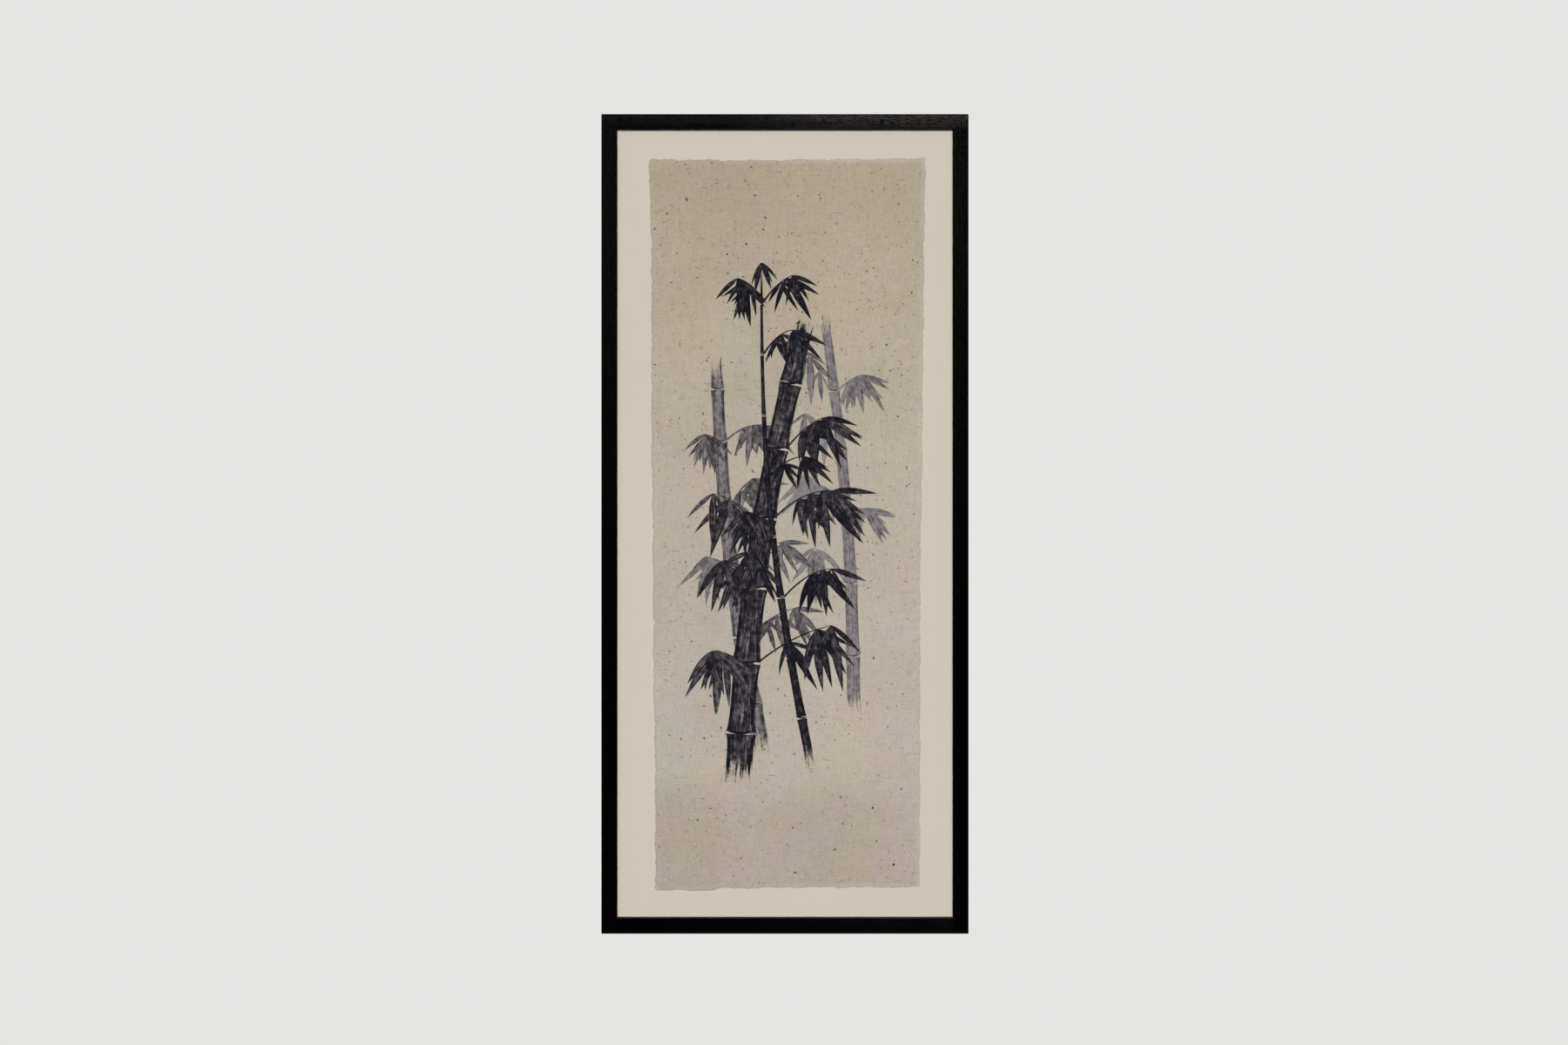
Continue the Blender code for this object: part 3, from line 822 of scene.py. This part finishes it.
def culm_strokes(culm):
    """A culm's lengths between its joints, which run dry at its two ends, and a dark stroke at each joint."""
    ends = (0.0, *culm.joints, 1.0)
    gap = CULM_GAP / (Vector(culm.top) - Vector(culm.foot)).length
    strokes = []
    for low, high in zip(ends, ends[1:]):
        spine = []
        halves = []
        for share in evenly(CULM_STEPS):
            height = low + gap + (high - low - 2 * gap) * share
            spine.append(culm_point(culm, height))
            halves.append(culm_half(culm, height) * (1 + CULM_FLARE * abs(2 * share - 1) ** 4))
        dry_start = CULM_DRY if low == 0 else 0.0
        dry_end = CULM_DRY if high == 1 else 0.0
        strokes.append(Stroke(spine, halves, culm.tone, dry_start, dry_end))
    return strokes + [joint_stroke(culm, share) for share in culm.joints]


def joint_stroke(culm, share):
    """The brush mark at a joint, like a shallow bowl, with thin raised ends."""
    middle = culm_point(culm, share)
    half = culm_half(culm, share) * JOINT_SPREAD
    thick = JOINT_THICK + JOINT_GROWTH * half
    spine = []
    halves = []
    for step in evenly(JOINT_STEPS):
        across = 2 * step - 1
        spine.append(middle + Vector((across * half, JOINT_BOW * half * across * across)))
        halves.append(thick * (1 - JOINT_TAPER * across * across))
    return Stroke(spine, halves, max(0.0, culm.tone - JOINT_DARKER))


def leaf(base, angle, length, width, bend, tone):
    """One bamboo leaf: narrow at its stalk, fullest past a third, and drawn out to a point."""
    forward = Vector((cos(angle), sin(angle)))
    side = Vector((-forward.y, forward.x))
    spine = []
    halves = []
    for share in evenly(LEAF_STEPS):
        spine.append(base + forward * length * share + side * bend * length * share * share)
        swell = sin(pi * share ** LEAF_FULLEST) ** LEAF_ROUND
        halves.append(width / 2 * swell * (LEAF_BELLY - LEAF_TAPER * share))
    halves[0] = STALK_HALF
    halves[-1] = 0.0
    return Stroke(spine, halves, tone)


def leaf_cluster(chance, base, lean, count, length, tone):
    """Leaves that hang from one point in a fan, the middle ones longest."""
    strokes = []
    for i in range(count):
        share = i / (count - 1) - 0.5
        angle = radians(-90 + lean + share * LEAF_FAN + chance.uniform(-LEAF_SWAY, LEAF_SWAY))
        size = length * (FAN_MIDDLE - FAN_LESS * abs(share)) * chance.uniform(*LEAF_SIZES)
        width = size * chance.uniform(*LEAF_WIDTHS)
        bend = -share * chance.uniform(*LEAF_BENDS) + chance.uniform(-LEAF_CURL, LEAF_CURL)
        shade = max(0.0, tone + chance.uniform(-LEAF_SHADE, LEAF_SHADE))
        strokes.append(leaf(base, angle, size, width, bend, shade))
    chance.shuffle(strokes)
    return strokes


def branch_strokes(chance, root, side, reach, leaf_length, tone):
    """A thin branch that climbs outward from a joint and droops, with leaves along its outer part."""
    climb = radians(chance.uniform(*BRANCH_CLIMB))
    length = reach * chance.uniform(*BRANCH_LENGTHS)
    droop = chance.uniform(*BRANCH_DROOP)
    spine = []
    halves = []
    for share in evenly(BRANCH_STEPS):
        up = share * sin(climb) - droop * share * share
        spine.append(root + Vector((side * length * share * cos(climb), length * up)))
        halves.append(between(*BRANCH_HALVES, share))
    strokes = [Stroke(spine, halves, tone)]
    for place, size in LEAF_PLACES:
        if place < BRANCH_STEPS and chance.random() < LEAVES_MISSING:
            continue
        lean = WIND + side * chance.uniform(0, LEAF_LEAN)
        count = chance.choice(LEAF_COUNTS)
        strokes += leaf_cluster(chance, spine[place], lean, count, leaf_length * size, tone)
    return strokes


def joint_branch(chance, culm, share, side):
    """The branch on one side of a culm's joint, shorter up the culm, or none where it has no room."""
    root = culm_point(culm, share) + Vector((side * culm_half(culm, share), BRANCH_RISE))
    tone = max(DARKEST_BRANCH, culm.tone + chance.uniform(*BRANCH_SHADES))
    reach = min(culm.branch * (BRANCH_FOOT - BRANCH_LESS * share), BRANCH_LIMIT - side * root.x)
    if reach <= BRANCH_SHORTEST:
        return []
    leaf_length = culm.leaf * (LEAF_FOOT - LEAF_LESS * share)
    return branch_strokes(chance, root, side, reach, leaf_length, tone)


def bamboo_strokes():
    """The whole picture, from what lies behind to what lies in front."""
    chance = random.Random(BAMBOO_SEED)
    strokes = []
    for culm in CULMS:
        strokes += culm_strokes(culm)
        own_side = chance.choice((-1, 1))
        for share in culm.joints[1:]:
            own_side = -own_side
            for side, likely in zip((own_side, -own_side), BRANCH_CHANCES):
                if chance.random() <= likely:
                    strokes += joint_branch(chance, culm, share, side)
    return strokes + leaf_cluster(chance, culm_point(CULMS[-1], 1.0), WIND, *TUFT)


def fleck_outline(chance, x, z, radius):
    """A small uneven fleck, longer one way."""
    turn = chance.uniform(0, pi)
    long = radius * chance.uniform(*FLECK_LENGTHS)
    outline = []
    for i in range(FLECK_SIDES):
        angle = 2 * pi * i / FLECK_SIDES
        across = long * cos(angle) * chance.uniform(*FLECK_WOBBLE)
        up = radius * sin(angle) * chance.uniform(*FLECK_WOBBLE)
        outline.append((
            x + across * cos(turn) - up * sin(turn),
            z + across * sin(turn) + up * cos(turn),
        ))
    return outline


def fibre_outline(chance, x, z):
    """A fine short fibre, most of them lying nearly level."""
    length = chance.uniform(*FIBRE_LENGTHS)
    turn = chance.gauss(0, FIBRE_TURN)
    bend = chance.uniform(-FIBRE_BEND, FIBRE_BEND)
    spine = []
    for step in evenly(len(FIBRE_HALVES) - 1):
        share = step - 0.5
        spine.append(Vector((
            x + length * share * cos(turn),
            z + length * share * sin(turn) + bend * length * share * share,
        )))
    return ribbon(spine, FIBRE_HALVES)


def mark_place(chance):
    """A place for a fleck or a fibre on the sheet, more often near its top."""
    low, high = MARK_HEIGHTS
    while True:
        x = chance.uniform(*MARK_WIDTHS)
        z = chance.uniform(low, high)
        wanted = FOOT_SHARE + (1 - FOOT_SHARE) * (z - low) / (high - low)
        if rim_distance(x, z) > MARK_MARGIN and chance.random() < wanted:
            return x, z


def paper_marks():
    """The flecks and fibres in the paper, as pairs of outline and darkness."""
    chance = random.Random(FLECK_SEED)
    marks = []
    for count, smallest, largest, darkness in FLECKS.values():
        for _ in range(count):
            radius = chance.uniform(smallest, largest)
            outline = fleck_outline(chance, *mark_place(chance), radius)
            marks.append((outline, darkness * chance.uniform(*FLECK_SHADES)))
    for _ in range(FIBRES):
        outline = fibre_outline(chance, *mark_place(chance))
        marks.append((outline, FIBRE_DARKNESS * chance.uniform(*FIBRE_SHADES)))
    return marks


def cut_sheet(strokes, marks):
    """Cuts the sheet's plane along its outline, the strokes and the marks, which all run anticlockwise.

    Gives the points, the triangles, and for each triangle the outlines round it: 0 is the sheet's, then come
    the strokes and the marks.
    """
    outlines = [sheet_outline()[::-1]]
    outlines += [ribbon(stroke.spine, stroke.halves) for stroke in strokes]
    outlines += [outline for outline, _ in marks]
    points = [Vector(point) * MILLIMETRES for point in sheet_grid()]
    faces = []
    for outline in outlines:
        faces.append(list(range(len(points), len(points) + len(outline))))
        points += [Vector(point) * MILLIMETRES for point in outline]
    cut = delaunay_2d_cdt(points, [], faces, 0, CUT_NEAREST)
    kept = [(triangle, inside) for triangle, inside in zip(cut[2], cut[5]) if 0 in inside]
    triangles, insides = zip(*kept)
    return [point / MILLIMETRES for point in cut[0]], triangles, insides


def rim_loop(triangles):
    """The corners round the outside of joined triangles, in order."""
    sides = {}
    for triangle in triangles:
        for side in zip(triangle, (*triangle[1:], triangle[0])):
            sides[side] = True
    following = {second: first for first, second in sides if (second, first) not in sides}
    loop = [next(iter(following))]
    while following[loop[-1]] != loop[0]:
        loop.append(following[loop[-1]])
    return loop


def sheet_mesh(points, triangles):
    """The sheet's front with its cockle and its torn rim, the thin wall round it, and a plain back."""
    used = sorted({corner for triangle in triangles for corner in triangle})
    number = {corner: i for i, corner in enumerate(used)}
    rims = [max(0.0, rim_distance(*points[corner])) for corner in used]
    back_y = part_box("print_sheet")[1].y
    vertices = []
    for corner, rim in zip(used, rims):
        x, z = points[corner]
        torn = min(1.0, rim / TORN_WIDTH)
        thick = TORN_THICKNESS + (SHEET_THICKNESS - TORN_THICKNESS) * torn * (2 - torn)
        vertices.append((x, back_y - cockle(x, z) - thick, CENTRE.z + z))
    front = [tuple(number[corner] for corner in triangle) for triangle in triangles]
    loop = rim_loop(front)
    behind = {corner: len(vertices) + i for i, corner in enumerate(loop)}
    for corner in loop:
        x, _, z = vertices[corner]
        vertices.append((x, back_y - cockle(x, z - CENTRE.z), z))
    wall = []
    for first, second in zip(loop, (*loop[1:], loop[0])):
        wall.append((first, second, behind[second], behind[first]))
    back = [tuple(behind[corner] for corner in loop)]
    mesh = bpy.data.meshes.new("paper_sheet")
    mesh.from_pydata(vertices, [], [*front, *wall, *back])
    mesh.polygons.foreach_set("use_smooth", [True] * len(front) + [False] * (len(wall) + 1))
    rim_values = mesh.attributes.new("rim", "FLOAT", "POINT")
    rim_values.data.foreach_set("value", [*rims, *([0.0] * len(loop))])
    return mesh


def paint_corners(mesh, strokes, marks, insides):
    """Writes on each front triangle's corners the stroke and the fleck that cover it."""
    stroke_values = []
    cover_values = []
    for polygon, inside in zip(mesh.polygons, insides):
        painted = [i - 1 for i in inside if 0 < i <= len(strokes)]
        flecks = [marks[i - 1 - len(strokes)][1] for i in inside if i > len(strokes)]
        fleck = max(flecks, default=0.0)
        stroke = strokes[max(painted)] if painted else None
        for corner in polygon.vertices:
            if not stroke:
                stroke_values += (0.0, 0.0, 0.0)
                cover_values += (0.0, fleck, 0.0)
                continue
            x, _, z = mesh.vertices[corner].co
            run, side, dryness = stroke_place(stroke, Vector((x, z - CENTRE.z)))
            stroke_values += (run, side, stroke.tone)
            cover_values += (1.0, fleck, dryness)
    bare = [0.0] * (3 * len(mesh.loops) - len(stroke_values))
    for name, values in (("stroke", stroke_values), ("cover", cover_values)):
        mesh.attributes.new(name, "FLOAT_VECTOR", "CORNER").data.foreach_set("vector", values + bare)


def add_print_sheet():
    """The paper sheet, with the picture and the flecks cut into its front and coloured."""
    strokes = bamboo_strokes()
    marks = paper_marks()
    points, triangles, insides = cut_sheet(strokes, marks)
    mesh = sheet_mesh(points, triangles)
    paint_corners(mesh, strokes, marks, insides)
    mesh.materials.append(handmade_paper())
    sheet = new_object("paper_sheet", mesh)
    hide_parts("print_sheet")
    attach(sheet, "root")


def ring_route():
    """A ring's centre line in its own plane, as (across, up), with its bar at height 0."""
    route = []
    for share in evenly(RING_STEPS):
        turn = pi * share
        route.append((RING_SIDE * cos(turn), RING_STRAIGHT + RING_SIDE * sin(turn)))
    for side, first in ((-1, pi), (1, 1.5 * pi)):
        for share in evenly(RING_BEND_STEPS):
            turn = first + pi / 2 * share
            across = side * (RING_SIDE - RING_BEND) + RING_BEND * cos(turn)
            route.append((across, RING_BEND + RING_BEND * sin(turn)))
    return route


def add_ring(node, outward, steel):
    """A smooth wire ring in place of the frame's faceted one, its stile on the outward side, -1 or 1."""
    low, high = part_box(node)
    outer = low.x + RING_WIRE_RADIUS if outward < 0 else high.x - RING_WIRE_RADIUS
    hinge = Vector((outer, (low.y + high.y) / 2, low.z + RING_WIRE_RADIUS))
    curve = bpy.data.curves.new(f"{node}_wire", "CURVE")
    curve.dimensions = "3D"
    curve.bevel_depth = RING_WIRE_RADIUS
    curve.bevel_resolution = WIRE_ROUNDNESS
    spline = curve.splines.new("POLY")
    route = ring_route()
    spline.points.add(len(route) - 1)
    for point, (across, up) in zip(spline.points, route):
        offset = Vector((-outward * up * sin(RING_LEAN), across, up * cos(RING_LEAN)))
        point.co = (*(hinge + offset), 1)
    spline.use_cyclic_u = True
    curve.materials.append(steel)
    ring = new_object(f"{node}_wire", curve)
    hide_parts(node)
    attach(ring, "root")


def new_object(name, data):
    """A new object in the scene."""
    item = bpy.data.objects.new(name, data)
    bpy.context.collection.objects.link(item)
    return item


def dress(node, material):
    """Gives a node of the frame its look."""
    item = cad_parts[node]
    item.data.materials.clear()
    item.data.materials.append(material)
    return item


def soften(item, width):
    """Rounds a small steel piece's edges."""
    bevel = item.modifiers.new("soft_edges", "BEVEL")
    bevel.width = width
    bevel.segments = 2
    bevel.limit_method = "ANGLE"


def dress_frame():
    """Gives every node its look, and puts the smooth rings in place."""
    for rail in RAIL_PAINTED_SHEEN:
        dress(rail, black_wood(rail))
    dress("glazing", clear_glazing())
    dress("mount_board", mount_board())
    dress("backing_board", backing_board())
    spacer = black_spacer()
    level_steel = plated_steel("level_steel")
    upright_steel = plated_steel("upright_steel")
    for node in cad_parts:
        if node.endswith("_spacer"):
            dress(node, spacer)
        elif "_tab_" in node:
            upright = node.startswith(("top", "bottom"))
            soften(dress(node, upright_steel if upright else level_steel), TAB_EDGE)
        elif node.endswith(("_strap", "_screw")):
            soften(dress(node, upright_steel), HANGER_EDGE)
    add_ring("left_hanger_ring", -1, upright_steel)
    add_ring("right_hanger_ring", 1, upright_steel)


def add_floor():
    """A pale floor that throws no light up at the frame and isn't mirrored in it."""
    height = CENTRE.z - FLOOR_BELOW_CENTRE
    front = [(-FLOOR_SIDE, FLOOR_FRONT, height), (FLOOR_SIDE, FLOOR_FRONT, height)]
    back = [(FLOOR_SIDE, FLOOR_BACK, height), (-FLOOR_SIDE, FLOOR_BACK, height)]
    mesh = bpy.data.meshes.new("floor")
    mesh.from_pydata([*front, *back], [], [(0, 1, 2, 3)])
    mesh.materials.append(pale_floor())
    floor = new_object("floor", mesh)
    floor.visible_diffuse = False
    floor.visible_glossy = False


def add_window(name, offset, size, power, mirrored):
    """A soft window of light that faces the frame's centre and isn't seen itself."""
    light = bpy.data.lights.new(name, "AREA")
    light.shape = "RECTANGLE"
    light.size, light.size_y = size
    light.energy = power
    window = new_object(name, light)
    window.location = CENTRE + Vector(offset)
    window.rotation_euler = Vector(offset).to_track_quat("Z", "Y").to_euler()
    window.visible_camera = False
    window.visible_glossy = mirrored


def add_front_light():
    """Level light that falls evenly on the whole front, and isn't mirrored in it."""
    light = bpy.data.lights.new("front_light", "SUN")
    light.energy = FRONT_LIGHT
    light.angle = FRONT_WIDTH
    lamp = new_object("front_light", light)
    lamp.rotation_euler = (radians(90), 0, 0)
    lamp.visible_glossy = False


def add_world():
    """A pale backdrop, mirrored except on its dark side, and a weaker even light from all round."""
    world = bpy.data.worlds.new("studio")
    world.use_nodes = True
    nodes = Nodes(world.node_tree)
    even = world.node_tree.nodes["Background"]
    even.inputs["Color"].default_value = (1, 1, 1, 1)
    even.inputs["Strength"].default_value = AMBIENT
    seen = nodes.add("ShaderNodeBackground", {"Color": tint(BACKDROP_COLOUR)})
    _, towards_back, _ = nodes.axes(nodes.add("ShaderNodeTexCoord", {}, "Generated"))
    is_mirrored = nodes.add("ShaderNodeLightPath", {}, "Is Glossy Ray")
    is_seen = nodes.add("ShaderNodeLightPath", {}, "Is Camera Ray")
    share = nodes.larger(is_seen, nodes.times(is_mirrored, nodes.ramp(towards_back, *DARK_SIDE)))
    either = nodes.add("ShaderNodeMixShader", {0: share, 1: even.outputs[0], 2: seen})
    nodes.feed(world.node_tree.nodes["World Output"].inputs["Surface"], either)
    bpy.context.scene.world = world
    bpy.context.scene.view_settings.view_transform = "Standard"


def add_camera():
    """Straight in front, so that the frame's centre falls on its pixel of the photograph."""
    pixel = CAMERA_DISTANCE * SENSOR / LENS / PHOTO_WIDTH
    camera_data = bpy.data.cameras.new("camera")
    camera_data.lens = LENS
    camera_data.sensor_width = SENSOR
    camera = new_object("camera", camera_data)
    camera.location = (
        CENTRE.x - (FRAME_CENTRE_PIXEL[0] - PHOTO_WIDTH / 2) * pixel,
        CAD_BOX[0].y - CAMERA_DISTANCE,
        CENTRE.z + (FRAME_CENTRE_PIXEL[1] - PHOTO_HEIGHT / 2) * pixel,
    )
    camera.rotation_euler = (radians(90), 0, 0)
    bpy.context.scene.camera = camera


add_camera()
add_world()
add_front_light()
for window_name, window_values in WINDOWS.items():
    add_window(window_name, *window_values)
add_floor()
dress_frame()
add_print_sheet()
